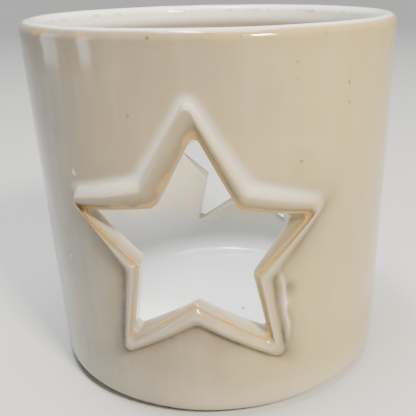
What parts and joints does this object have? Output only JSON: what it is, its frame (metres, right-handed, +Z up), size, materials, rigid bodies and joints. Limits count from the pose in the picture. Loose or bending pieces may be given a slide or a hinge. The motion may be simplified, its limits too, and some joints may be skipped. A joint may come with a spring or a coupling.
{
  "type": "tealight holder",
  "caption": "Round glazed stoneware tealight holder with raised star windows in its front and back walls, open at the top, on small felt pads.",
  "frame": {"origin": "on the table under the middle of the pot", "axes": "+Z up along the pot's axis, -Y out through the middle of the front star"},
  "size_m": [0.11, 0.114, 0.1065],
  "materials": {
    "glazed_stoneware": "glossy warm greige reactive glaze outside that breaks to tan on edges, bluish-white glaze inside",
    "felt": "dense brown felt"
  },
  "bodies": {
    "root": {"stoneware_pot": "glazed_stoneware", "felt_pad_1": "felt", "felt_pad_2": "felt", "felt_pad_3": "felt", "felt_pad_4": "felt"}
  },
  "joints": []
}
